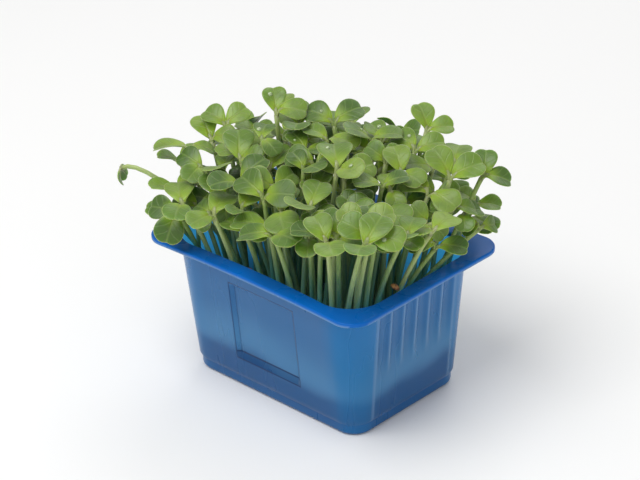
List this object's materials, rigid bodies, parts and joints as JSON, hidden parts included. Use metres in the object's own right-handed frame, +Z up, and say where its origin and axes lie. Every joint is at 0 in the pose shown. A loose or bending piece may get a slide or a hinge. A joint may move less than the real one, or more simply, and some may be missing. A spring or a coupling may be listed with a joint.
{
  "type": "daikon cress tray",
  "caption": "Rectangular thermoformed tray of living daikon cress: growing mat, upright pale stems and paired notched green seed leaves.",
  "frame": {"origin": "middle of the flat underside of the tray's foot", "axes": "+Z up out of the tray, +X along the tray's long side, +Y along its short side"},
  "size_m": [0.1267, 0.0886, 0.0918],
  "materials": {
    "blue_plastic": "gloss",
    "growing_fibre": "matte",
    "cress_green": "satin",
    "seed_hull": "matte"
  },
  "bodies": {
    "root": {"tray": "blue_plastic", "growing_mat": "growing_fibre", "cress_clump_01": "cress_green", "cress_clump_02": "cress_green", "cress_clump_03": "cress_green", "cress_clump_04": "cress_green", "cress_clump_05": "cress_green", "cress_clump_06": "cress_green", "cress_clump_07": "cress_green", "cress_clump_08": "cress_green", "cress_clump_09": "cress_green", "cress_clump_10": "cress_green", "cress_clump_11": "cress_green", "cress_clump_12": "cress_green", "cress_clump_13": "cress_green", "cress_clump_14": "cress_green", "cress_clump_15": "cress_green", "cress_clump_16": "cress_green", "cress_clump_17": "cress_green", "cress_clump_18": "cress_green", "cress_clump_19": "cress_green", "cress_clump_20": "cress_green", "cress_clump_21": "cress_green", "cress_clump_22": "cress_green", "cress_clump_23": "cress_green", "cress_clump_24": "cress_green", "cress_clump_25": "cress_green", "cress_clump_26": "cress_green", "cress_clump_27": "cress_green", "cress_clump_28": "cress_green", "cress_clump_29": "cress_green", "cress_clump_30": "cress_green", "cress_clump_31": "cress_green", "cress_clump_32": "cress_green", "seed_hull_01": "seed_hull", "seed_hull_02": "seed_hull", "seed_hull_03": "seed_hull", "seed_hull_04": "seed_hull", "seed_hull_05": "seed_hull"}
  },
  "joints": []
}
